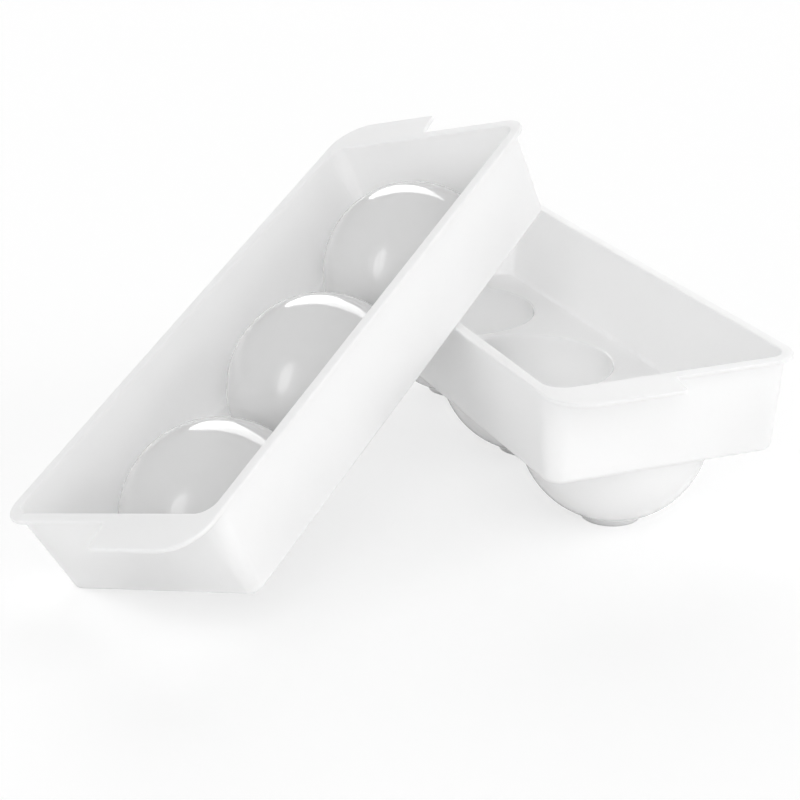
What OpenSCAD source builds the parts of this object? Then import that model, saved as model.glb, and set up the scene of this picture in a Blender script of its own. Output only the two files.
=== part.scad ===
// Tray mold for three ice balls, opened: the lower tray stands on its cups and
// the upper tray leans on the long edge of the lower tray's rim.
// Millimetres. Origin on the table under the middle cup, X along the lower tray, Z up.

/* [Balls] */
// Diameter of one ice ball
ball_d = 60; // [50:0.5:64]
// Gap between the outsides of neighbouring cups
cup_gap = 1.5; // [1:0.1:4]

/* [Trays] */
// Thickness of walls, decks, cups and domes
wall = 1.5; // [1.2:0.1:2]
// Room from the last cup to the end of the tray, at the parting plane
end_room = 2; // [2:0.1:8]
// Room from the cups to the long side of the tray, at the parting plane
side_room = 7; // [5:0.1:14]
// Room from the top of the domes to the top of the rim
rim_room = 1.5; // [1:0.1:10]
// Slope of the tray walls away from upright, in degrees
draft = 5; // [3:0.1:8]
// Corner radius of the upper tray at the parting plane
corner_r = 4; // [3.5:0.1:8]
// Rounding of the edge between a tray's wall and its underside
outer_edge_r = 2; // [1:0.1:2]
// Rounding of the edge between a tray's wall and its deck
inner_edge_r = 1.5; // [1.3:0.1:1.8]
// Gap between the two trays' walls when the mold is closed
nest_gap = 0.4; // [0.3:0.05:0.8]
// Gap between the two flanges when the mold is closed
flange_gap = 0.2; // [0.1:0.05:0.5]

/* [Flange] */
// Width of the flange outside the wall
flange_w = 2.5; // [1.5:0.1:5]
// Thickness of the flange and its tabs
flange_t = 1.5; // [1.2:0.1:2]
// Reach of a pull tab past the flange
tab_reach = 11.5; // [8:0.1:16]
// Radius of a tab's outer corner
tab_r = 13; // [10:0.1:16]
// Distance of a tab's inner end from the middle of the tray
tab_start = 1.5; // [1:0.1:6]
// How much further from the middle the inner end is at the tip
tab_slant = 2; // [0:0.1:6]

/* [Feet] */
// Diameter of the flat foot under each cup
foot_d = 20; // [14:0.5:28]
// Height of the lowest point of a cup above the table
foot_h = 0.5; // [0.3:0.1:3]

/* [Leaning upper tray] */
// Angle of the upper tray's underside to the table
lean = 26; // [24:0.1:30]
// Angle of the upper tray's long side to the lower tray's
lean_turn = 125; // [115:0.5:135]
// Place of the upper tray along the lower tray
lean_x = 25; // [15:0.5:35]
// Gap between the upper tray's underside and the rim that it leans on
lean_gap = 0.3; // [0.2:0.05:0.6]

/* [Hidden] */
$fn = 96;

// Length that cutting solids reach past the solids that they cut
over = 1;

// Number of flats that a rounded edge is made of
edge_steps = 8;

// Balls and the two trays' common plan, measured at the parting plane
ball_r = ball_d / 2;
cup_r = ball_r + wall;
ball_pitch = 2 * cup_r + cup_gap;
half_length = ball_pitch + cup_r + end_room;
half_width = cup_r + side_room;
corner_x = half_length - corner_r;
corner_y = half_width - corner_r;

// Heights above the parting plane
upper_h = cup_r + rim_room;
lower_h = upper_h - flange_t - flange_gap;

// A wall's thickness measured level, across its slope
level_wall = wall / cos(draft);
lower_out = nest_gap + level_wall;

// Radius of a flange's corners about the same centres as the walls'
upper_flange_r = hundredths(corner_r + upper_h * tan(draft) + flange_w);
lower_flange_r = hundredths(corner_r + lower_out + lower_h * tan(draft) + flange_w);

// Depth that a foot reaches into the wall of its cup
foot_bite = wall / 10;

// Parting plane and rim of the lower tray above the table
parting_z = foot_h + cup_r;
rim_z = parting_z + lower_h;
rim_y = corner_y + lower_flange_r;

// Upper tray's middle when its low corner stands on the table and its underside lies along the rim
low_corner_r = corner_r - edge_inset(outer_edge_r);
low_corner_reach = corner_x * sin(lean_turn) - corner_y * cos(lean_turn) + low_corner_r;
lean_z = low_corner_reach * sin(lean) + outer_edge_r * (1 - cos(lean));
lean_y = -rim_y - (lean_gap + (rim_z - lean_z) * cos(lean)) / sin(lean);

// A length to the nearest hundredth of a millimetre
function hundredths(length) = round(100 * length) / 100;

// Level distance from a sharp lower edge to the centre of the rounding that replaces it
function edge_inset(edge_r) = edge_r * (1 - sin(draft)) / cos(draft);

// Points on the rounded edge between a tray's underside and its sloping face
function edge_points(edge_x, low, edge_r) = [
    for (step = [0 : edge_steps])
        let (turn = -90 + step * (90 - draft) / edge_steps)
        [edge_x + edge_r * cos(turn), low + edge_r * (1 + sin(turn))]
];

// Half section of a tray, from the centre of its corner to its sloping face
module wall_section(out, low, high, edge_r) {
    low_r = corner_r + out + low * tan(draft);
    high_r = corner_r + out + high * tan(draft);
    edge_x = low_r - edge_inset(edge_r);
    polygon(concat([[0, low]], edge_points(edge_x, low, edge_r), [[high_r, high], [0, high]]));
}

// Wall section carried straight along one side, outwards along +X
module side_block(half_run, out, low, high, edge_r) {
    translate([0, half_run, 0])
        rotate([90, 0, 0])
            linear_extrude(2 * half_run) wall_section(out, low, high, edge_r);
}

// Solid tray shape with sloping walls; `out` moves its face out from the upper tray's
module tray_block(out, low, high, edge_r) {
    translate([-corner_x, -corner_y, low]) cube([2 * corner_x, 2 * corner_y, high - low]);
    for (turn = [0, 180]) rotate(turn) {
        translate([corner_x, 0, 0]) side_block(corner_y, out, low, high, edge_r);
        rotate(90) translate([corner_y, 0, 0]) side_block(corner_x, out, low, high, edge_r);
        translate([corner_x, corner_y, 0])
            rotate_extrude(angle = 90) wall_section(out, low, high, edge_r);
        translate([-corner_x, corner_y, 0])
            rotate(90) rotate_extrude(angle = 90) wall_section(out, low, high, edge_r);
    }
}

// Outline of one pull tab at the +X end, on the +Y half
module tab_outline(flange_r) {
    end_x = corner_x + flange_r;
    tip_x = end_x + tab_reach;
    side_y = corner_y + flange_r;
    polygon([
        [corner_x, tab_start],
        [end_x, tab_start],
        [tip_x, tab_start + tab_slant],
        [tip_x, side_y - tab_r],
        [tip_x - tab_r, side_y],
        [corner_x, side_y]
    ]);
    translate([tip_x - tab_r, side_y - tab_r]) circle(tab_r);
}

// Flange with a tab on opposite halves of its two ends
module flange(flange_r, top, tab_side) {
    translate([0, 0, top - flange_t]) linear_extrude(flange_t) {
        square([2 * (corner_x + flange_r), 2 * corner_y], center = true);
        square([2 * corner_x, 2 * (corner_y + flange_r)], center = true);
        for (x = [-corner_x, corner_x], y = [-corner_y, corner_y])
            translate([x, y]) circle(flange_r);
        for (turn = [0, 180]) rotate(turn) scale([1, tab_side]) tab_outline(flange_r);
    }
}

// Three of a kind, one at each ball
module at_balls() {
    for (place = [-1, 0, 1]) translate([place * ball_pitch, 0, 0]) children();
}

// Half of a ball-shaped solid, above (side = 1) or below (side = -1) the parting plane
module half_ball(radius, side) {
    intersection() {
        sphere(radius);
        translate([-radius, -radius, side > 0 ? 0 : -radius]) cube([2 * radius, 2 * radius, radius]);
    }
}

// Upper tray in its own axes, underside on the parting plane
module upper_tray_flat() {
    difference() {
        union() {
            difference() {
                union() {
                    tray_block(0, 0, upper_h, outer_edge_r);
                    flange(upper_flange_r, upper_h, 1);
                }
                tray_block(-level_wall, wall, upper_h + over, inner_edge_r);
            }
            at_balls() half_ball(cup_r, 1);
        }
        at_balls() sphere(ball_r);
    }
}

// Lower tray in its own axes, deck on the parting plane
module lower_tray_flat() {
    difference() {
        union() {
            difference() {
                union() {
                    tray_block(lower_out, -wall, lower_h, outer_edge_r);
                    flange(lower_flange_r, lower_h, -1);
                }
                tray_block(nest_gap, 0, lower_h + over, inner_edge_r);
            }
            at_balls() {
                half_ball(cup_r, -1);
                cup_foot();
            }
        }
        at_balls() sphere(ball_r);
    }
}

// Flat disc that a cup stands on, reaching up into the cup's wall
module cup_foot() {
    foot_r = foot_d / 2;
    foot_top = sqrt(cup_r * cup_r - foot_r * foot_r);
    translate([0, 0, -parting_z]) cylinder(r = foot_r, h = parting_z - foot_top + foot_bite);
}

module lower_tray() {
    color("white") translate([0, 0, parting_z]) lower_tray_flat();
}

module upper_tray() {
    color("whitesmoke")
        translate([lean_x, lean_y, lean_z])
            rotate([lean, 0, 0])
                rotate(lean_turn)
                    upper_tray_flat();
}

lower_tray();
upper_tray();
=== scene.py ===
"""Looks of an open ice ball mold: one tray stands upright and the other leans on its rim."""

import logging
import math
from abc import ABC, abstractmethod
from dataclasses import dataclass, field
from enum import Enum

import bmesh
import bpy
from mathutils import Matrix, Vector
from mathutils.geometry import tessellate_polygon


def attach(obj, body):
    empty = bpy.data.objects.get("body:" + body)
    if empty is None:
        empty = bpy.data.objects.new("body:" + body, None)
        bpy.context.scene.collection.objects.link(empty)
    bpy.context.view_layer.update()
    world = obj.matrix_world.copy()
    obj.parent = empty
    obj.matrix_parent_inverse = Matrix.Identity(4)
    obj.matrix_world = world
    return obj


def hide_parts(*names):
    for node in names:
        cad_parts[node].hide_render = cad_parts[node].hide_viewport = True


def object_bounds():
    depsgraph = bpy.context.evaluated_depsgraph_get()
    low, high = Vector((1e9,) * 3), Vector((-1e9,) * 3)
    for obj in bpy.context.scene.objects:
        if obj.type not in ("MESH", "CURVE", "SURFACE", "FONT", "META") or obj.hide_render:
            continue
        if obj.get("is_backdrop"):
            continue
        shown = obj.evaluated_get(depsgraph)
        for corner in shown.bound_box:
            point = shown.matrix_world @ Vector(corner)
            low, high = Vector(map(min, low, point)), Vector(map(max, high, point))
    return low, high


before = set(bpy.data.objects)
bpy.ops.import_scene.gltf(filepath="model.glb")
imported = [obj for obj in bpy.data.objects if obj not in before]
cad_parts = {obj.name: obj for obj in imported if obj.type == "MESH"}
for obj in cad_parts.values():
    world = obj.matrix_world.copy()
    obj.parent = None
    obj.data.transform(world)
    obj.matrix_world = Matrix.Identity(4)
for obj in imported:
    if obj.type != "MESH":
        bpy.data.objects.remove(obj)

LOG = logging.getLogger("ice_ball_mold")
MM = 0.001
POLISH = "polish"

Point = tuple[float, float]
Ring = list[bmesh.types.BMVert]


class Side(Enum):
    """Which way the half balls of a tray stand from the parting plane."""

    UP = 1
    DOWN = -1


class TabHalf(Enum):
    """Which half of a tray's +X end has the pull tab; at the other end it is the opposite half."""

    PLUS_Y = 1
    MINUS_Y = -1


class Skin(Enum):
    """The two skins of a tray's thin wall."""

    INSIDE = "inside"
    OUTSIDE = "outside"


@dataclass(frozen=True)
class MoldSizes:
    """Sizes that both trays share, in metres.

    They are measured in a tray's own axes, with z = 0 at the parting plane.
    """

    ball_d: float = 60 * MM
    cup_gap: float = 1.5 * MM
    ball_count: int = 3
    wall: float = 1.5 * MM
    end_room: float = 2 * MM
    side_room: float = 7 * MM
    rim_room: float = 1.5 * MM
    draft: float = math.radians(5)
    corner_r: float = 4 * MM
    outer_edge_r: float = 2 * MM
    inner_edge_r: float = 1.5 * MM
    nest_gap: float = 0.4 * MM
    flange_gap: float = 0.2 * MM
    flange_w: float = 2.5 * MM
    flange_t: float = 1.5 * MM
    flange_edge_r: float = 0.5 * MM
    rim_edge_r: float = 0.6 * MM
    flange_root_r: float = 0.8 * MM
    tab_reach: float = 11.5 * MM
    tab_r: float = 13 * MM
    tab_start: float = 1.5 * MM
    tab_slant: float = 2 * MM
    tab_end_r: float = 1.5 * MM
    foot_d: float = 20 * MM
    foot_h: float = 0.5 * MM
    foot_edge_r: float = 0.4 * MM
    ball_root_r: float = 1.0 * MM
    mouth_edge_r: float = 0.7 * MM

    @property
    def ball_r(self) -> float:
        """Radius of a cavity."""
        return self.ball_d / 2

    @property
    def cup_r(self) -> float:
        """Outer radius of a cup or dome."""
        return self.ball_r + self.wall

    @property
    def ball_pitch(self) -> float:
        """Distance between the centres of neighbouring balls."""
        return 2 * self.cup_r + self.cup_gap

    @property
    def row_half(self) -> float:
        """Distance along the tray from its middle to the centre of the last ball."""
        return self.ball_pitch * (self.ball_count - 1) / 2

    @property
    def corner_x(self) -> float:
        """Distance along the tray from its middle to the centres of its corners."""
        return self.row_half + self.cup_r + self.end_room - self.corner_r

    @property
    def corner_y(self) -> float:
        """Distance across the tray from its middle to the centres of its corners."""
        return self.cup_r + self.side_room - self.corner_r

    @property
    def upper_h(self) -> float:
        """Height of the upper tray's rim above the parting plane."""
        return self.cup_r + self.rim_room

    @property
    def lower_h(self) -> float:
        """Height of the lower tray's rim above the parting plane."""
        return self.upper_h - self.flange_t - self.flange_gap

    @property
    def level_wall(self) -> float:
        """Thickness of a sloping wall, measured level."""
        return self.wall / math.cos(self.draft)

    @property
    def parting_z(self) -> float:
        """Height of the parting plane of the standing lower tray above the table."""
        return self.foot_h + self.cup_r

    def slope(self, height: float) -> float:
        """How far a sloping wall moves outwards over a height."""
        return height * math.tan(self.draft)


@dataclass(frozen=True)
class Leaning:
    """How the upper tray leans on the long edge of the lower tray's rim."""

    lean: float = math.radians(26)
    turn: float = math.radians(125)
    x: float = 25 * MM
    gap: float = 0.3 * MM

    def place(self, sizes: MoldSizes, rim_y: float, rim_z: float) -> Matrix:
        """Works out where the upper tray comes to lie, with its low corner on the table.

        Args:
            sizes: Sizes of the mold.
            rim_y: Distance of the lower tray's rim edge from its middle.
            rim_z: Height of that edge above the table.

        Returns:
            Matrix from the upper tray's own axes to the row frame.
        """
        edge_inset = sizes.outer_edge_r * (1 - math.sin(sizes.draft)) / math.cos(sizes.draft)
        reach = sizes.corner_x * math.sin(self.turn) - sizes.corner_y * math.cos(self.turn)
        reach += sizes.corner_r - edge_inset
        z = reach * math.sin(self.lean) + sizes.outer_edge_r * (1 - math.cos(self.lean))
        y = -rim_y - (self.gap + (rim_z - z) * math.cos(self.lean)) / math.sin(self.lean)
        move = Matrix.Translation((self.x, y, z))
        return move @ Matrix.Rotation(self.lean, 4, "X") @ Matrix.Rotation(self.turn, 4, "Z")


def arc(centre: Point, radius: float, start: float, end: float, steps: int) -> list[Point]:
    """Points on an arc.

    Args:
        centre: Centre of the arc.
        radius: Radius of the arc.
        start: Angle of the first point, in degrees.
        end: Angle of the last point, in degrees.
        steps: Number of chords.

    Returns:
        The points, from start to end.
    """
    points: list[Point] = []
    for step in range(steps + 1):
        turn = math.radians(start + (end - start) * step / steps)
        points.append((centre[0] + radius * math.cos(turn), centre[1] + radius * math.sin(turn)))
    return points


@dataclass(frozen=True)
class Corner:
    """One corner of an outline that runs counter-clockwise."""

    x: float
    y: float
    radius: float


def rounded_outline(corners: list[Corner], inset: float, steps: int) -> list[Point]:
    """Outline with rounded corners, moved inwards.

    Args:
        corners: Sharp corners, counter-clockwise, with the radius that rounds each.
        inset: Distance that the whole outline moves inwards.
        steps: Number of chords in each rounded corner.

    Returns:
        Points of the closed outline, as many for any inset.
    """
    points: list[Point] = []
    for index, corner in enumerate(corners):
        here = Vector((corner.x, corner.y))
        before = Vector((corners[index - 1].x, corners[index - 1].y))
        after_corner = corners[(index + 1) % len(corners)]
        after = Vector((after_corner.x, after_corner.y))
        way_in = (here - before).normalized()
        way_out = (after - here).normalized()
        turn = -way_in.angle_signed(way_out)
        bend = 1 if turn > 0 else -1
        left_in = Vector((-way_in.y, way_in.x))
        left_out = Vector((-way_out.y, way_out.x))
        bisector = (left_in + left_out) / (1 + left_in.dot(left_out))
        centre = here + bisector * bend * corner.radius
        radius = corner.radius - bend * inset
        first = math.degrees(math.atan2(-bend * left_in.y, -bend * left_in.x))
        points += arc((centre.x, centre.y), radius, first, first + math.degrees(turn), steps)
    return points


@dataclass
class MeshMaker:
    """Collects rings of points and the faces between them, and makes a closed mesh of them."""

    name: str
    bm: bmesh.types.BMesh = field(default_factory=bmesh.new)

    def ring(self, points: list[Point], z: float) -> Ring:
        """Adds a level ring of points."""
        return [self.bm.verts.new((x, y, z)) for x, y in points]

    def stack(self, rings: list[Ring]) -> None:
        """Joins each ring to the next by a band of faces.

        Args:
            rings: Rings in order, each with as many points as the others.
        """
        for here, after in zip(rings, rings[1:]):
            count = len(here)
            for i in range(count):
                j = (i + 1) % count
                self.bm.faces.new((here[i], here[j], after[j], after[i]))

    def cap(self, ring: Ring) -> None:
        """Closes a ring by one flat face."""
        self.bm.faces.new(ring)

    def fan(self, ring: Ring, pole: bmesh.types.BMVert) -> None:
        """Closes a ring by faces that meet in a point.

        Args:
            ring: The ring.
            pole: The point.
        """
        count = len(ring)
        for i in range(count):
            self.bm.faces.new((ring[i], ring[(i + 1) % count], pole))

    def flat_between(self, outer: Ring, inner: Ring) -> None:
        """Fills the flat space between two rings.

        Args:
            outer: The ring round the space.
            inner: The ring that the space lies round.
        """
        verts = outer + inner
        loops = [[vert.co for vert in outer], [vert.co for vert in inner]]
        for triangle in tessellate_polygon(loops):
            self.bm.faces.new([verts[i] for i in triangle])

    def finish(self) -> bpy.types.Object:
        """Turns all faces outwards and makes the object.

        Returns:
            The object, linked to the scene.
        """
        bmesh.ops.recalc_face_normals(self.bm, faces=self.bm.faces[:])
        mesh = bpy.data.meshes.new(self.name)
        self.bm.to_mesh(mesh)
        self.bm.free()
        made = bpy.data.objects.new(self.name, mesh)
        bpy.context.scene.collection.objects.link(made)
        return made


def turned_solid(name: str, profile: list[Point], steps: int) -> bpy.types.Object:
    """Solid of revolution about Z.

    Args:
        name: Name of the object.
        profile: Radius and height of each point; the first and the last lie on the axis.
        steps: Number of faces round the axis.

    Returns:
        The closed solid.
    """
    maker = MeshMaker(name)
    first_pole, last_pole = [maker.bm.verts.new((0, 0, profile[end][1])) for end in (0, -1)]
    circle = arc((0, 0), 1, 0, 360, steps)[:-1]
    rings = [maker.ring([(radius * x, radius * y) for x, y in circle], z) for radius, z in profile[1:-1]]
    maker.stack(rings)
    maker.fan(rings[0], first_pole)
    maker.fan(rings[-1], last_pole)
    return maker.finish()


@dataclass(frozen=True)
class BallRow:
    """Geometry Nodes tree that puts a row of half balls on a tray and hollows them out."""

    name: str = "row_of_balls"

    def tree(self) -> bpy.types.NodeTree:
        """Builds the tree once.

        Returns:
            The tree, with named inputs for its sizes and pieces.
        """
        if self.name in bpy.data.node_groups:
            return bpy.data.node_groups[self.name]
        tree = bpy.data.node_groups.new(self.name, "GeometryNodeTree")
        self._add_sockets(tree)
        nodes, links = tree.nodes, tree.links
        given = nodes.new("NodeGroupInput")
        places = self._places(tree, given)
        joined = self._boolean(tree, "UNION")
        hollowed = self._boolean(tree, "DIFFERENCE")
        links.new(given.outputs["Tray"], joined.inputs["Mesh 2"])
        links.new(self._copies(tree, given.outputs["Half Ball"], places), joined.inputs["Mesh 2"])
        links.new(joined.outputs["Mesh"], hollowed.inputs["Mesh 1"])
        links.new(self._copies(tree, given.outputs["Hollow"], places), hollowed.inputs["Mesh 2"])
        smooth = nodes.new("GeometryNodeSetShadeSmooth")
        real = nodes.new("GeometryNodeRealizeInstances")
        dress = nodes.new("GeometryNodeSetMaterial")
        result = nodes.new("NodeGroupOutput")
        links.new(hollowed.outputs["Mesh"], smooth.inputs["Geometry"])
        links.new(smooth.outputs["Geometry"], real.inputs["Geometry"])
        links.new(real.outputs["Geometry"], dress.inputs["Geometry"])
        links.new(given.outputs["Material"], dress.inputs["Material"])
        links.new(dress.outputs["Geometry"], result.inputs["Geometry"])
        return tree

    @staticmethod
    def _add_sockets(tree: bpy.types.NodeTree) -> None:
        """Gives the tree its output and its named inputs.

        Args:
            tree: The tree.
        """
        tree.interface.new_socket("Geometry", in_out="OUTPUT", socket_type="NodeSocketGeometry")
        for name, kind in (
            ("Tray", "NodeSocketGeometry"),
            ("Half Ball", "NodeSocketObject"),
            ("Hollow", "NodeSocketObject"),
            ("Pitch", "NodeSocketFloat"),
            ("Start", "NodeSocketFloat"),
            ("Count", "NodeSocketInt"),
            ("Material", "NodeSocketMaterial"),
        ):
            tree.interface.new_socket(name, in_out="INPUT", socket_type=kind)

    @staticmethod
    def _places(tree: bpy.types.NodeTree, given: bpy.types.Node) -> bpy.types.Node:
        """Adds the points that the balls stand at.

        Args:
            tree: The tree that takes the nodes.
            given: Node that gives the tree's inputs.

        Returns:
            Node that gives the points.
        """
        start = tree.nodes.new("ShaderNodeCombineXYZ")
        step = tree.nodes.new("ShaderNodeCombineXYZ")
        places = tree.nodes.new("GeometryNodeMeshLine")
        places.mode = "OFFSET"
        tree.links.new(given.outputs["Start"], start.inputs["X"])
        tree.links.new(given.outputs["Pitch"], step.inputs["X"])
        tree.links.new(given.outputs["Count"], places.inputs["Count"])
        tree.links.new(start.outputs["Vector"], places.inputs["Start Location"])
        tree.links.new(step.outputs["Vector"], places.inputs["Offset"])
        return places

    @staticmethod
    def _boolean(tree: bpy.types.NodeTree, operation: str) -> bpy.types.Node:
        """Adds a boolean node for closed meshes.

        Args:
            tree: The tree that takes the node.
            operation: What the node does, such as UNION.

        Returns:
            The node.
        """
        node = tree.nodes.new("GeometryNodeMeshBoolean")
        node.operation = operation
        node.solver = "EXACT"
        return node

    @staticmethod
    def _copies(
        tree: bpy.types.NodeTree, piece: bpy.types.NodeSocket, places: bpy.types.Node
    ) -> bpy.types.NodeSocket:
        """Puts a copy of a piece at each place.

        Args:
            tree: The tree that takes the nodes.
            piece: Socket that gives the piece's object.
            places: Node that gives the points.

        Returns:
            Socket that gives the real copies.
        """
        info = tree.nodes.new("GeometryNodeObjectInfo")
        copies = tree.nodes.new("GeometryNodeInstanceOnPoints")
        real = tree.nodes.new("GeometryNodeRealizeInstances")
        tree.links.new(piece, info.inputs["Object"])
        tree.links.new(places.outputs["Mesh"], copies.inputs["Points"])
        tree.links.new(info.outputs["Geometry"], copies.inputs["Instance"])
        tree.links.new(copies.outputs["Instances"], real.inputs["Geometry"])
        return real.outputs["Geometry"]

    def bake(self, tray: bpy.types.Object, values: dict[str, object]) -> bpy.types.Mesh:
        """Runs the tree on a tray.

        Args:
            tray: The tray's shell.
            values: Value of each named input but the geometry.

        Returns:
            The finished plain mesh.
        """
        tree = self.tree()
        modifier = tray.modifiers.new(self.name, "NODES")
        modifier.node_group = tree
        for item in tree.interface.items_tree:
            if item.in_out == "INPUT" and item.name in values:
                modifier[item.identifier] = values[item.name]
        graph = bpy.context.evaluated_depsgraph_get()
        mesh = bpy.data.meshes.new_from_object(tray.evaluated_get(graph))
        tray.modifiers.remove(modifier)
        return mesh


@dataclass(kw_only=True)
class Tray(ABC):
    """One tray of the mold: a thin open box with a flange, two pull tabs and a row of half balls.

    Each skin of the wall is given by how far it lies outside the upper tray's outer face, and by its
    lowest height. The lip is the angle, in degrees, by which a rounding stops short of running level
    onto the deck, so that the two cross cleanly. Edges past the sharp angle are shaded sharp, and a face
    within the level angle of level counts as level.
    """

    name: str
    node: str
    body: str
    sizes: MoldSizes
    side: Side
    tab_half: TabHalf
    top: float
    inside_out: float
    inside_low: float
    outside_out: float
    outside_low: float
    corner_steps: int = 14
    edge_steps: int = 8
    round_steps: int = 192
    ball_steps: int = 58
    lip: float = 14.0
    sharp_angle: float = math.radians(38)
    level_angle: float = math.radians(2)

    @abstractmethod
    def place(self) -> Matrix:
        """Matrix from the tray's own axes to the row frame."""

    def wall_r(self, skin: Skin, z: float) -> float:
        """Radius of a skin's corners at a height, about the tray's corner centres."""
        out = self.inside_out if skin is Skin.INSIDE else self.outside_out
        return self.sizes.corner_r + out + self.sizes.slope(z)

    @property
    def flange_r(self) -> float:
        """Radius of the flange's plain corners, to a hundredth of a millimetre."""
        exact = self.wall_r(Skin.OUTSIDE, self.top) + self.sizes.flange_w
        return round(exact / MM, 2) * MM

    def wall_outline(self, radius: float) -> list[Point]:
        """Level outline of a wall.

        Args:
            radius: Radius of the wall's corners at that level.

        Returns:
            Points of the closed outline.
        """
        s = self.sizes
        points: list[Point] = []
        for quarter, (x, y) in enumerate(((1, 1), (-1, 1), (-1, -1), (1, -1))):
            centre = (x * s.corner_x, y * s.corner_y)
            points += arc(centre, radius, 90 * quarter, 90 * (quarter + 1), self.corner_steps)
        return points

    def flange_outline(self, inset: float) -> list[Point]:
        """Outline of the flange with its two tabs.

        Args:
            inset: Distance that the whole outline moves inwards.

        Returns:
            Points of the closed outline.
        """
        s = self.sizes
        end_x = s.corner_x + self.flange_r
        side_y = s.corner_y + self.flange_r
        tip_x = end_x + s.tab_reach
        half = [
            Corner(end_x, -side_y, self.flange_r),
            Corner(end_x, s.tab_start, s.tab_end_r),
            Corner(tip_x, s.tab_start + s.tab_slant, s.tab_end_r),
            Corner(tip_x, side_y, s.tab_r),
        ]
        corners = half + [Corner(-c.x, -c.y, c.radius) for c in half]
        if self.tab_half is TabHalf.MINUS_Y:
            corners = [Corner(c.x, -c.y, c.radius) for c in reversed(corners)]
        return rounded_outline(corners, inset, self.corner_steps)

    def skin_profile(self, skin: Skin) -> list[Point]:
        """Section of one skin, with its upper and lower edges rounded.

        Args:
            skin: Which skin of the wall.

        Returns:
            Corner radius and height of each point, from the top down.
        """
        s = self.sizes
        if skin is Skin.INSIDE:
            high, high_r = self.top, s.rim_edge_r
            low, low_r = self.inside_low, s.inner_edge_r
        else:
            high, high_r = self.top - s.flange_t, s.flange_root_r
            low, low_r = self.outside_low, s.outer_edge_r
        slope = math.degrees(s.draft)
        upper_z = high - high_r
        upper_x = self.wall_r(skin, upper_z) + high_r / math.cos(s.draft)
        lower_z = low + low_r
        lower_x = self.wall_r(skin, lower_z) - low_r / math.cos(s.draft)
        upper_edge = arc((upper_x, upper_z), high_r, 90, 180 - slope, self.edge_steps)
        lower_edge = arc((lower_x, lower_z), low_r, -slope, -90, self.edge_steps)
        return upper_edge + lower_edge

    def build_shell(self) -> bpy.types.Object:
        """Thin open box with its flange, tabs and rounded edges.

        Returns:
            The box as a closed solid, before it has its half balls.
        """
        s = self.sizes
        maker = MeshMaker(self.name + "_shell")
        wall_tops = []
        for skin in (Skin.INSIDE, Skin.OUTSIDE):
            rings = [maker.ring(self.wall_outline(radius), z) for radius, z in self.skin_profile(skin)]
            maker.stack(rings)
            maker.cap(rings[-1])
            wall_tops.append(rings[0])
        edge = s.flange_edge_r
        rounding = arc((0, self.top - edge), edge, 90, 0, self.edge_steps)
        rounding += arc((0, self.top - s.flange_t + edge), edge, 0, -90, self.edge_steps)
        rim = [maker.ring(self.flange_outline(edge - out), z) for out, z in rounding]
        maker.stack(rim)
        maker.flat_between(rim[0], wall_tops[0])
        maker.flat_between(rim[-1], wall_tops[1])
        return maker.finish()

    def rooted_ball(self, radius: float, root_r: float, level: float) -> list[Point]:
        """Half of a ball's section, standing up, which a fillet leads onto a flat.

        Args:
            radius: Radius of the ball.
            root_r: Radius of the fillet.
            level: Height of the flat above the centre of the ball.

        Returns:
            Radius and height of each point, from the top of the ball to the end of the fillet.
        """
        centre_z = level + root_r
        centre_x = math.sqrt((radius + root_r) ** 2 - centre_z**2)
        rise = math.degrees(math.atan2(centre_z, centre_x))
        ball = arc((0, 0), radius, 90, rise, self.ball_steps)
        root = arc((centre_x, centre_z), root_r, 180 + rise, 270 - self.lip, self.edge_steps)
        return ball + root[1:]

    def half_ball_profile(self) -> list[Point]:
        """Half section of a dome that stands up, with a fillet at its root.

        Returns:
            Radius and height of each point; the last ones lie halfway into the deck.
        """
        s = self.sizes
        points = self.rooted_ball(s.cup_r, s.ball_root_r, s.wall)
        sunk_z = s.wall / 2
        return points + [(points[-1][0], sunk_z), (0, sunk_z)]

    def hollow_profile(self) -> list[Point]:
        """Half section of half a cavity that stands up, with a rounded mouth.

        Returns:
            Radius and height of each point; the last ones lie past the deck.
        """
        s = self.sizes
        points = self.rooted_ball(s.ball_r, s.mouth_edge_r, 0)
        return points + [(points[-1][0], -s.wall), (0, -s.wall)]

    def turned(self, name: str, profile: list[Point]) -> bpy.types.Object:
        """Solid of revolution that stands the way of this tray's half balls."""
        profile = [(radius, self.side.value * z) for radius, z in profile]
        return turned_solid(f"{self.name}_{name}", profile, self.round_steps)

    def build(self, material: bpy.types.Material) -> bpy.types.Object:
        """Makes the whole tray in its place.

        Args:
            material: Finish of the tray.

        Returns:
            The tray's object, at the origin.
        """
        s = self.sizes
        shell = self.build_shell()
        half_ball = self.turned("half_ball", self.half_ball_profile())
        hollow = self.turned("hollow", self.hollow_profile())
        values = {
            "Half Ball": half_ball,
            "Hollow": hollow,
            "Pitch": s.ball_pitch,
            "Start": -s.row_half,
            "Count": s.ball_count,
            "Material": material,
        }
        mesh = BallRow().bake(shell, values)
        self.mark_polish(mesh)
        mesh.transform(self.place())
        mesh.set_sharp_from_angle(angle=self.sharp_angle)
        mesh.name = self.name
        for helper in (shell, half_ball, hollow):
            bpy.data.objects.remove(helper)
        tray = bpy.data.objects.new(self.name, mesh)
        bpy.context.scene.collection.objects.link(tray)
        normals = tray.modifiers.new("even_normals", "WEIGHTED_NORMAL")
        normals.keep_sharp = True
        return tray

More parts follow.
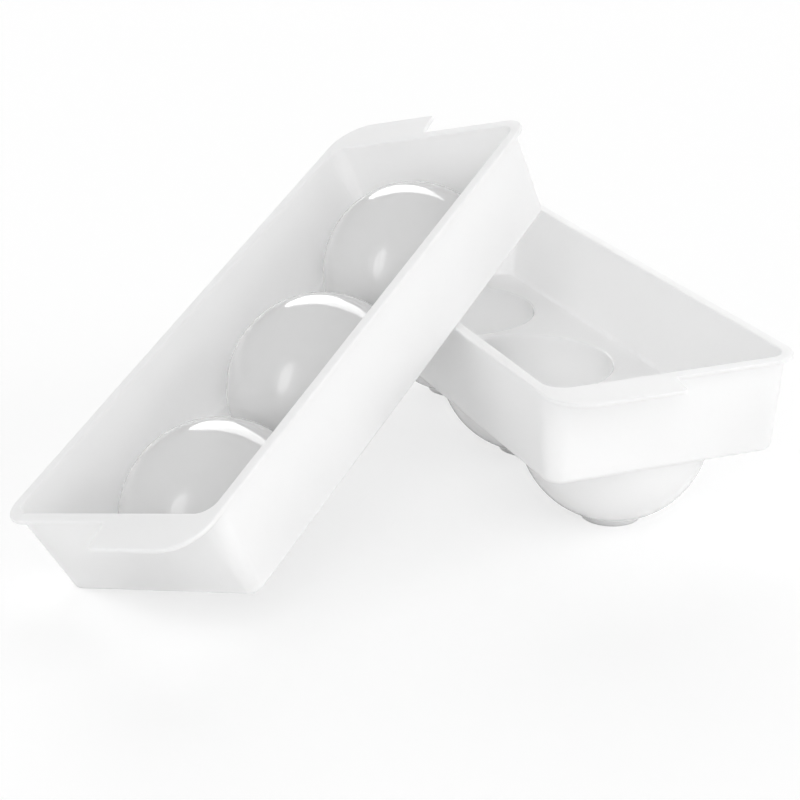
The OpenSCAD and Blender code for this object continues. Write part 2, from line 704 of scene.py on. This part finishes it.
    def mark_polish(self, mesh: bpy.types.Mesh) -> None:
        """Marks the ball-shaped faces, which are polished more than the rest.

        Args:
            mesh: The tray's mesh in its own axes.
        """
        s = self.sizes
        centres = [Vector((i * s.ball_pitch - s.row_half, 0, 0)) for i in range(s.ball_count)]
        near_ball = s.wall / 3
        near_deck = s.wall * 2
        # The same mark also sets where the ball tone goes, which on the upper tray is painted shade.
        polish = mesh.attributes.new(POLISH, "FLOAT", "FACE")
        for polygon in mesh.polygons:
            gap = min((polygon.center - centre).length for centre in centres)
            on_ball = abs(gap - s.ball_r) < near_ball or abs(gap - s.cup_r) < near_ball
            level = abs(polygon.normal.z) > math.cos(self.level_angle)
            on_deck = level and abs(polygon.center.z) < near_deck
            polish.data[polygon.index].value = 1.0 if on_ball and not on_deck else 0.0

    def fit(self, tray: bpy.types.Object) -> None:
        """Lets the tray ride on its body in place of its CAD node.

        Args:
            tray: The tray's object.
        """
        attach(tray, self.body)
        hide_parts(self.node)


@dataclass(kw_only=True)
class LowerTray(Tray):
    """The tray that stands upright, with its cups below the deck and a flat foot under each cup."""

    def half_ball_profile(self) -> list[Point]:
        """Half section of a cup with its flat foot, as if it stood up like a dome.

        Returns:
            Radius and height of each point, from the middle of the foot to inside the deck.
        """
        s = self.sizes
        foot_r = s.foot_d / 2
        edge = s.foot_edge_r
        foot = arc((foot_r - edge, s.parting_z - edge), edge, 90, 0, self.edge_steps)
        plain = super().half_ball_profile()
        return [(0, s.parting_z)] + foot + [point for point in plain if point[0] > foot_r] + [plain[-1]]

    def place(self) -> Matrix:
        """Stands the tray on its feet."""
        return Matrix.Translation((0, 0, self.sizes.parting_z))


@dataclass(kw_only=True)
class UpperTray(Tray):
    """The tray with the domes, which leans on the lower tray's rim."""

    rim_y: float
    rim_z: float
    leaning: Leaning = Leaning()

    def place(self) -> Matrix:
        """Leans the tray on the rim."""
        return self.leaning.place(self.sizes, self.rim_y, self.rim_z)


def lower_tray(sizes: MoldSizes) -> LowerTray:
    """Sets out the lower tray.

    Args:
        sizes: Sizes of the mold.

    Returns:
        The tray, not built yet.
    """
    return LowerTray(
        name="lower_tray_moulding",
        node="lower_tray",
        body="lower",
        sizes=sizes,
        side=Side.DOWN,
        tab_half=TabHalf.MINUS_Y,
        top=sizes.lower_h,
        inside_out=sizes.nest_gap,
        inside_low=0.0,
        outside_out=sizes.nest_gap + sizes.level_wall,
        outside_low=-sizes.wall,
    )


def upper_tray(sizes: MoldSizes, lower: LowerTray) -> UpperTray:
    """Sets out the upper tray.

    Args:
        sizes: Sizes of the mold.
        lower: The lower tray, whose rim it leans on.

    Returns:
        The tray, not built yet.
    """
    return UpperTray(
        name="upper_tray_moulding",
        node="upper_tray",
        body="upper",
        sizes=sizes,
        side=Side.UP,
        tab_half=TabHalf.PLUS_Y,
        top=sizes.upper_h,
        inside_out=-sizes.level_wall,
        inside_low=sizes.wall,
        outside_out=0.0,
        outside_low=0.0,
        rim_y=sizes.corner_y + lower.flange_r,
        rim_z=sizes.parting_z + sizes.lower_h,
    )


def grey(value: float) -> tuple[float, float, float, float]:
    """Opaque grey as a colour socket takes it."""
    return (value, value, value, 1)


@dataclass(frozen=True)
class MouldedPlastic:
    """White moulded plastic, polished on the balls, and dull with a slight ripple on the rest.

    Faint clouds change its tone and its gloss a little from place to place.
    """

    name: str
    tone: float = 0.96
    # A ball tone below the wall tone is painted shade on the balls, not a colour of the plastic.
    ball_tone_and_shade: float = 0.96
    cloud_depth: float = 0.02
    wall_rough: float = 0.75
    ball_rough: float = 0.04
    haze_depth: float = 0.06
    ior: float = 1.49
    glow_weight: float = 1.0
    glow_depth: float = 0.004
    cloud_scale: float = 28.0
    cloud_detail: float = 3.0
    ripple_scale: float = 260.0
    ripple_detail: float = 1.0
    ripple_height: float = 0.00002

    def surface_group(self) -> bpy.types.NodeTree:
        """Node group with the slow clouds and the fine ripple of a moulded surface.

        Returns:
            The group, with outputs Cloud and Ripple from 0 to 1.
        """
        name = "moulded_surface"
        if name in bpy.data.node_groups:
            return bpy.data.node_groups[name]
        group = bpy.data.node_groups.new(name, "ShaderNodeTree")
        group.interface.new_socket("Vector", in_out="INPUT", socket_type="NodeSocketVector")
        for effect in ("Cloud", "Ripple"):
            group.interface.new_socket(effect + " Scale", in_out="INPUT", socket_type="NodeSocketFloat")
            group.interface.new_socket(effect, in_out="OUTPUT", socket_type="NodeSocketFloat")
        given = group.nodes.new("NodeGroupInput")
        result = group.nodes.new("NodeGroupOutput")
        for effect, detail in (("Cloud", self.cloud_detail), ("Ripple", self.ripple_detail)):
            noise = group.nodes.new("ShaderNodeTexNoise")
            noise.inputs["Detail"].default_value = detail
            group.links.new(given.outputs["Vector"], noise.inputs["Vector"])
            group.links.new(given.outputs[effect + " Scale"], noise.inputs["Scale"])
            group.links.new(noise.outputs["Fac"], result.inputs[effect])
        return group

    def material(self) -> bpy.types.Material:
        """Builds the material.

        Returns:
            The material, which reads Object coordinates and the polish attribute.
        """
        made = bpy.data.materials.new(self.name)
        made.use_nodes = True
        tree = made.node_tree
        shader = tree.nodes["Principled BSDF"]
        shader.inputs["IOR"].default_value = self.ior
        shader.inputs["Subsurface Weight"].default_value = self.glow_weight
        shader.inputs["Subsurface Radius"].default_value = (1, 1, 1)
        shader.inputs["Subsurface Scale"].default_value = self.glow_depth
        place = tree.nodes.new("ShaderNodeTexCoord")
        surface = tree.nodes.new("ShaderNodeGroup")
        surface.node_tree = self.surface_group()
        surface.inputs["Cloud Scale"].default_value = self.cloud_scale
        surface.inputs["Ripple Scale"].default_value = self.ripple_scale
        tree.links.new(place.outputs["Object"], surface.inputs["Vector"])
        attribute = tree.nodes.new("ShaderNodeAttribute")
        attribute.attribute_name = POLISH
        polish = attribute.outputs["Fac"]
        colour = self._colour(tree, polish, surface.outputs["Cloud"])
        roughness = self._roughness(tree, polish, surface.outputs["Cloud"])
        normal = self._normal(tree, polish, surface.outputs["Ripple"])
        tree.links.new(colour, shader.inputs["Base Color"])
        tree.links.new(roughness, shader.inputs["Roughness"])
        tree.links.new(normal, shader.inputs["Normal"])
        return made

    def _colour(
        self, tree: bpy.types.NodeTree, polish: bpy.types.NodeSocket, cloud: bpy.types.NodeSocket
    ) -> bpy.types.NodeSocket:
        """Tone of walls and balls, with faint clouds; a ball tone below the wall tone is painted shade on
        the balls.

        Args:
            tree: The material's node tree.
            polish: Socket that gives 1 on the balls.
            cloud: Socket that gives the clouds.

        Returns:
            Socket that gives the colour.
        """
        tone = tree.nodes.new("ShaderNodeMix")
        tone.data_type = "RGBA"
        tone.inputs["A"].default_value = grey(self.tone)
        # Where this is darker than the wall tone, the balls get painted shade.
        tone.inputs["B"].default_value = grey(self.ball_tone_and_shade)
        depth = tree.nodes.new("ShaderNodeMapRange")
        depth.inputs["To Min"].default_value = 1 - self.cloud_depth
        depth.inputs["To Max"].default_value = 1 + self.cloud_depth
        clouded = tree.nodes.new("ShaderNodeVectorMath")
        clouded.operation = "SCALE"
        tree.links.new(polish, tone.inputs["Factor"])
        tree.links.new(cloud, depth.inputs["Value"])
        tree.links.new(tone.outputs["Result"], clouded.inputs["Vector"])
        tree.links.new(depth.outputs["Result"], clouded.inputs["Scale"])
        return clouded.outputs["Vector"]

    def _roughness(
        self, tree: bpy.types.NodeTree, polish: bpy.types.NodeSocket, cloud: bpy.types.NodeSocket
    ) -> bpy.types.NodeSocket:
        """Roughness of walls and balls, with a faint haze.

        Args:
            tree: The material's node tree.
            polish: Socket that gives 1 on the balls.
            cloud: Socket that gives the clouds.

        Returns:
            Socket that gives the roughness.
        """
        gloss = tree.nodes.new("ShaderNodeMapRange")
        gloss.inputs["To Min"].default_value = self.wall_rough
        gloss.inputs["To Max"].default_value = self.ball_rough
        haze = tree.nodes.new("ShaderNodeMath")
        haze.operation = "MULTIPLY_ADD"
        haze.inputs[1].default_value = self.haze_depth
        tree.links.new(polish, gloss.inputs["Value"])
        tree.links.new(cloud, haze.inputs[0])
        tree.links.new(gloss.outputs["Result"], haze.inputs[2])
        return haze.outputs["Value"]

    def _normal(
        self, tree: bpy.types.NodeTree, polish: bpy.types.NodeSocket, ripple: bpy.types.NodeSocket
    ) -> bpy.types.NodeSocket:
        """Slight ripple of the walls; the balls have none.

        Args:
            tree: The material's node tree.
            polish: Socket that gives 1 on the balls.
            ripple: Socket that gives the ripple's height.

        Returns:
            Socket that gives the normal.
        """
        matt = tree.nodes.new("ShaderNodeMath")
        matt.operation = "SUBTRACT"
        matt.inputs[0].default_value = 1.0
        bump = tree.nodes.new("ShaderNodeBump")
        bump.inputs["Distance"].default_value = self.ripple_height
        tree.links.new(polish, matt.inputs[1])
        tree.links.new(matt.outputs["Value"], bump.inputs["Strength"])
        tree.links.new(ripple, bump.inputs["Height"])
        return bump.outputs["Normal"]


@dataclass(frozen=True)
class PaleFloor:
    """Plain floor that looks white to the camera and keeps the object's shadow."""

    name: str = "pale_floor"
    colour: float = 0.95
    seen_colour: float = 0.39
    lift: float = 0.65
    roughness: float = 0.9
    half_width: float = 6.0

    def material(self) -> bpy.types.Material:
        """Matt floor with a lift that only the camera sees.

        Returns:
            The material.
        """
        made = bpy.data.materials.new(self.name)
        made.use_nodes = True
        nodes, links = made.node_tree.nodes, made.node_tree.links
        shader = nodes["Principled BSDF"]
        shader.inputs["Roughness"].default_value = self.roughness
        shader.inputs["Specular IOR Level"].default_value = 0.0
        shader.inputs["Emission Color"].default_value = grey(1)
        path = nodes.new("ShaderNodeLightPath")
        tone = nodes.new("ShaderNodeMix")
        tone.data_type = "RGBA"
        tone.inputs["A"].default_value = grey(self.colour)
        tone.inputs["B"].default_value = grey(self.seen_colour)
        lift = nodes.new("ShaderNodeMath")
        lift.operation = "MULTIPLY"
        lift.inputs[1].default_value = self.lift
        links.new(path.outputs["Is Camera Ray"], tone.inputs["Factor"])
        links.new(tone.outputs["Result"], shader.inputs["Base Color"])
        links.new(path.outputs["Is Camera Ray"], lift.inputs[0])
        links.new(lift.outputs["Value"], shader.inputs["Emission Strength"])
        return made

    def build(self) -> None:
        """Lays the floor at the height that the object stands on."""
        w = self.half_width
        mesh = bpy.data.meshes.new(self.name)
        mesh.from_pydata([(-w, -w, 0), (w, -w, 0), (w, w, 0), (-w, w, 0)], [], [(0, 1, 2, 3)])
        mesh.materials.append(self.material())
        floor = bpy.data.objects.new(self.name, mesh)
        bpy.context.scene.collection.objects.link(floor)
        floor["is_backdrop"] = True


def direction(heading: float, height: float) -> Vector:
    """Unit vector at a heading from +X and a height above level, both in degrees."""
    turn, rise = math.radians(heading), math.radians(height)
    return Vector((math.cos(rise) * math.cos(turn), math.cos(rise) * math.sin(turn), math.sin(rise)))


@dataclass(frozen=True)
class SoftPanel:
    """A wide panel so far away that it lights the object and the floor evenly, and that nothing mirrors.

    Its brightness is that of its face, where 1 is as bright as white paper in the room, and its spread is
    the angle, in degrees, that it takes up, seen from the object.
    """

    name: str
    heading: float
    height: float
    brightness: float
    spread: float = 43.0

    def build(self) -> None:
        """Hangs the panel."""
        way = direction(self.heading, self.height)
        angle = math.radians(self.spread)
        data = bpy.data.lights.new(self.name, "SUN")
        data.angle = angle
        data.energy = self.brightness * math.pi * math.sin(angle / 2) ** 2
        panel = bpy.data.objects.new(self.name, data)
        panel.rotation_euler = (-way).to_track_quat("-Z", "Y").to_euler()
        panel.visible_glossy = False
        bpy.context.scene.collection.objects.link(panel)


@dataclass(frozen=True)
class Highlight:
    """An oval lamp near the object that is only seen mirrored in its glossy faces."""

    name: str
    heading: float
    height: float
    brightness: float
    distance: float
    width: float
    tall: float

    def build(self, target: Vector) -> None:
        """Hangs the lamp so that it shines at a point.

        Args:
            target: The point.
        """
        way = direction(self.heading, self.height)
        area = math.pi / 4 * self.width * self.tall
        data = bpy.data.lights.new(self.name, "AREA")
        data.shape = "ELLIPSE"
        data.size = self.width
        data.size_y = self.tall
        data.energy = self.brightness * math.pi * area
        lamp = bpy.data.objects.new(self.name, data)
        lamp.location = target + way * self.distance
        lamp.rotation_euler = (-way).to_track_quat("-Z", "Y").to_euler()
        lamp.visible_diffuse = False
        bpy.context.scene.collection.objects.link(lamp)


@dataclass(frozen=True)
class Camera:
    """Camera at the photograph's viewing angle, looking along a heading and down by a pitch, in degrees."""

    name: str = "photo_camera"
    location: tuple[float, float, float] = (617.2 * MM, -302.0 * MM, 282.1 * MM)
    heading: float = 157.73
    pitch: float = 21.08
    focal_pixels: float = 2056.8
    image_pixels: float = 800.0
    sensor: float = 36.0
    clip_start: float = 0.01

    def build(self) -> None:
        """Sets the scene's camera."""
        data = bpy.data.cameras.new(self.name)
        data.sensor_width = self.sensor
        data.lens = self.focal_pixels / self.image_pixels * self.sensor
        data.clip_start = self.clip_start
        camera = bpy.data.objects.new(self.name, data)
        camera.location = self.location
        camera.rotation_euler = direction(self.heading, -self.pitch).to_track_quat("-Z", "Y").to_euler()
        bpy.context.scene.collection.objects.link(camera)
        bpy.context.scene.camera = camera


@dataclass(frozen=True)
class Studio:
    """White room with a ring of soft panels, and three lamps that only make highlights."""

    room_light: float = 0.03
    room_gloss: float = 0.4
    white: float = 1.0
    floor: PaleFloor = PaleFloor()
    camera: Camera = Camera()
    panels: tuple[SoftPanel, ...] = (
        SoftPanel("top_panel", heading=0, height=90, brightness=0.30, spread=120),
        SoftPanel("front_panel", heading=-22, height=40, brightness=2.0),
        SoftPanel("front_low_panel", heading=-22, height=10, brightness=1.4),
        SoftPanel("left_panel", heading=-75, height=8, brightness=1.25),
        SoftPanel("back_left_panel", heading=-140, height=15, brightness=1.55),
        SoftPanel("back_low_panel", heading=157, height=12, brightness=1.85),
        SoftPanel("back_panel", heading=157, height=40, brightness=1.6),
        SoftPanel("right_panel", heading=67, height=20, brightness=2.6),
        SoftPanel("right_low_panel", heading=28, height=10, brightness=0.95),
    )
    highlights: tuple[Highlight, ...] = (
        Highlight(
            "back_highlight", heading=144, height=26, brightness=3.8, distance=1.5, width=1.9, tall=1.0
        ),
        Highlight(
            "front_highlight", heading=-70, height=24, brightness=2.8, distance=1.5, width=0.4, tall=0.9
        ),
        Highlight(
            "front_glow", heading=-70, height=24, brightness=0.8, distance=1.6, width=0.9, tall=1.3
        ),
    )

    def light_room(self) -> None:
        """Sets an even, dim world that the camera sees as white and that reflections see as grey."""
        world = bpy.data.worlds.new("white_room")
        bpy.context.scene.world = world
        world.use_nodes = True
        nodes, links = world.node_tree.nodes, world.node_tree.links
        back = nodes["Background"]
        back.inputs["Color"].default_value = grey(1)
        path = nodes.new("ShaderNodeLightPath")
        mirrored = nodes.new("ShaderNodeMix")
        mirrored.inputs["A"].default_value = self.room_light
        mirrored.inputs["B"].default_value = self.room_gloss
        seen = nodes.new("ShaderNodeMix")
        seen.inputs["B"].default_value = self.white
        links.new(path.outputs["Is Glossy Ray"], mirrored.inputs["Factor"])
        links.new(path.outputs["Is Camera Ray"], seen.inputs["Factor"])
        links.new(mirrored.outputs["Result"], seen.inputs["A"])
        links.new(seen.outputs["Result"], back.inputs["Strength"])

    def build(self, target: Vector) -> None:
        """Builds the room, the floor, the lamps and the camera round the object.

        Args:
            target: The object's middle, which the highlight lamps shine at.
        """
        bpy.context.scene.view_settings.view_transform = "Standard"
        self.light_room()
        self.floor.build()
        for panel in self.panels:
            panel.build()
        for highlight in self.highlights:
            highlight.build(target)
        self.camera.build()


def main() -> None:
    """Builds the mold and its studio."""
    logging.basicConfig(level=logging.INFO, format="%(message)s")
    cad_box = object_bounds()
    sizes = MoldSizes()
    lower = lower_tray(sizes)
    upper = upper_tray(sizes, lower)
    lower_plastic = MouldedPlastic("lower_white_plastic")
    # Same white plastic as the lower tray: its lower tone and much lower ball tone are painted shade on its
    # inside and domes.
    upper_plastic = MouldedPlastic("upper_white_plastic_painted_shade", tone=0.90, ball_tone_and_shade=0.77)
    for tray, plastic in ((lower, lower_plastic), (upper, upper_plastic)):
        piece = tray.build(plastic.material())
        tray.fit(piece)
        LOG.info("%s: %d faces on body %s", piece.name, len(piece.data.polygons), tray.body)
    Studio().build((cad_box[0] + cad_box[1]) / 2)


if __name__ == "__main__":
    main()
